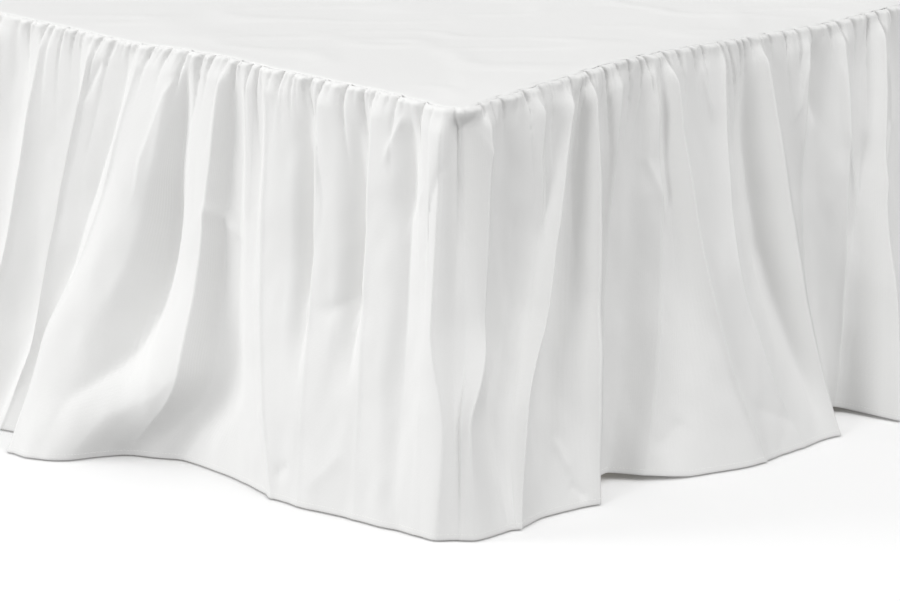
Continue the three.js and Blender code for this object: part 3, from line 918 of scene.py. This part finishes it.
class SKIRT_OT_stage(bpy.types.Operator):
    """Camera at the picture's angle, soft studio light and a pale floor"""

    bl_idname = "skirt.stage"
    bl_label = "Stage"

    def execute(self, context):
        scene = context.scene
        stage = scene.skirt_stage
        scene.view_settings.view_transform = "Standard"
        level = math.cos(stage.elevation)
        view = Vector((
            level * math.sin(stage.azimuth), level * math.cos(stage.azimuth), -math.sin(stage.elevation)))
        lens = bpy.data.cameras.new("camera")
        lens.lens = stage.lens
        lens.sensor_width = 36
        lens.clip_end = 200
        camera = bpy.data.objects.new("camera", lens)
        camera.location = Vector((*BASE_LOW.xy, 0)) + CAMERA_PLACE
        camera.rotation_euler = view.to_track_quat("-Z", "Y").to_euler()
        scene.collection.objects.link(camera)
        scene.camera = camera

        far = 40
        mesh = bpy.data.meshes.new("floor")
        mesh.from_pydata(
            [(-far, -far, 0), (far, -far, 0), (far, far, 0), (-far, far, 0)], [], [(0, 1, 2, 3)])
        mesh.materials.append(painted_floor(scene.skirt_colours.floor))
        floor = bpy.data.objects.new("floor", mesh)
        scene.collection.objects.link(floor)
        floor.visible_diffuse = False

        world = bpy.data.worlds.new("white_surround")
        world.use_nodes = True
        background = world.node_tree.nodes["Background"].inputs
        background["Color"].default_value = (1, 1, 1, 1)
        background["Strength"].default_value = stage.sky
        scene.world = world
        for lamp in LAMPS:
            light = bpy.data.lights.new(lamp.name + "_light", "SUN")
            light.energy = getattr(stage, lamp.name)
            light.angle = math.radians(lamp.spread)
            turn, height = math.radians(lamp.azimuth), math.radians(lamp.height)
            level = math.cos(height)
            towards = Vector((math.cos(turn) * level, -math.sin(turn) * level, -math.sin(height)))
            hung = bpy.data.objects.new(light.name, light)
            hung.rotation_euler = towards.to_track_quat("-Z", "Y").to_euler()
            scene.collection.objects.link(hung)
        return {"FINISHED"}


class SKIRT_OT_base(bpy.types.Operator):
    """Divan base in its woven cover, on four moulded glides"""

    bl_idname = "skirt.base"
    bl_label = "Divan base"

    def execute(self, context):
        colours = context.scene.skirt_colours
        nylon = moulded_nylon(colours.nylon)
        for name in GLIDES:
            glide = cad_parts[name]
            glide.data.materials.clear()
            glide.data.materials.append(nylon)
        ticking = woven_ticking(colours.ticking)
        points, flat = base_surface()
        base = closed_tube(sheet_object("divan_base", points[:, ::-1], flat[:, ::-1], ticking))
        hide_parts("base")
        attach(base, "root")
        return {"FINISHED"}


class SKIRT_OT_deck(bpy.types.Operator):
    """Flat cotton deck panel, drawn down a little along its gathered edge"""

    bl_idname = "skirt.deck"
    bl_label = "Deck"

    def execute(self, context):
        sizes = context.scene.skirt_sizes
        points, flat = deck_surface(sizes)
        cotton = bpy.data.materials["cotton_percale"]
        deck = sheet_object("cotton_deck", points[:, ::-1], flat[:, ::-1], cotton)
        thicken(deck, sizes.cloth)
        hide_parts("deck")
        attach(deck, "root")
        return {"FINISHED"}


class SKIRT_OT_stitches(bpy.types.Operator):
    """Row of stitches along the hem of each frill panel"""

    bl_idname = "skirt.stitches"
    bl_label = "Hem stitches"

    def execute(self, context):
        scene = context.scene
        sizes = scene.skirt_sizes
        tree = stitch_row(sewing_thread(scene.skirt_colours.thread))
        drops = frill_rows()
        sockets = {item.name: item.identifier for item in tree.interface.items_tree}
        for name in PANELS:
            points = frill_surface(sizes, name, drops)[0]
            line = level_line(points, drops, DROP - 0.8 * sizes.hem / MM)
            line = line + 0.2 * sizes.thread * outward(line)
            mesh = bpy.data.meshes.new("hem_stitches_" + name)
            mesh.from_pydata(line.tolist(), [(k, k + 1) for k in range(len(line) - 1)], [])
            stitches = bpy.data.objects.new(mesh.name, mesh)
            scene.collection.objects.link(stitches)
            modifier = stitches.modifiers.new("stitches", "NODES")
            modifier.node_group = tree
            modifier[sockets["Stitch"]] = sizes.stitch
            modifier[sockets["Gap"]] = sizes.stitch_gap
            modifier[sockets["Thread"]] = sizes.thread
            finished(stitches)
            if len(stitches.data.polygons) < LEAST_FACES:
                raise RuntimeError(f"{stitches.name}: no stitches were laid along the hem")
            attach(stitches, "root")
        return {"FINISHED"}


class SKIRT_OT_frill(bpy.types.Operator):
    """Three gathered panels that hang from the deck's edge to the floor"""

    bl_idname = "skirt.frill"
    bl_label = "Frill"

    def execute(self, context):
        scene = context.scene
        sizes = scene.skirt_sizes
        cotton = cotton_percale(scene.skirt_colours.cotton)
        drops = frill_rows()
        for name in PANELS:
            points, flat = frill_surface(sizes, name, drops)
            panel = sheet_object("cotton_" + name, points, flat, cotton)
            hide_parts(name)
            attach(panel, "root")
        return {"FINISHED"}


class SKIRT_PT_panel(bpy.types.Panel):
    """Lists the skirt's pieces, sizes and colours"""

    bl_idname = "SKIRT_PT_panel"
    bl_label = "Bed skirt"
    bl_space_type = "VIEW_3D"
    bl_region_type = "UI"
    bl_category = "Bed skirt"

    def draw(self, context):
        layout = self.layout
        for group in (context.scene.skirt_sizes, context.scene.skirt_colours, context.scene.skirt_stage):
            box = layout.box()
            for name in group.__annotations__:
                box.prop(group, name)
        for operator in OPERATORS:
            layout.operator(operator.bl_idname)


OPERATORS = (SKIRT_OT_stage, SKIRT_OT_base, SKIRT_OT_stitches, SKIRT_OT_frill, SKIRT_OT_deck)
GROUPS = {"skirt_sizes": SkirtSizes, "skirt_colours": SkirtColours, "skirt_stage": SkirtStage}


def register():
    for name, group in GROUPS.items():
        bpy.utils.register_class(group)
        setattr(bpy.types.Scene, name, PointerProperty(type=group))
    for kind in (*OPERATORS, SKIRT_PT_panel):
        bpy.utils.register_class(kind)


def unregister():
    for kind in (SKIRT_PT_panel, *reversed(OPERATORS)):
        bpy.utils.unregister_class(kind)
    for name, group in GROUPS.items():
        delattr(bpy.types.Scene, name)
        bpy.utils.unregister_class(group)


def main():
    register()
    bpy.ops.skirt.stage()
    bpy.ops.skirt.base()
    bpy.ops.skirt.stitches()
    bpy.ops.skirt.frill()
    bpy.ops.skirt.deck()


if __name__ == "__main__":
    main()
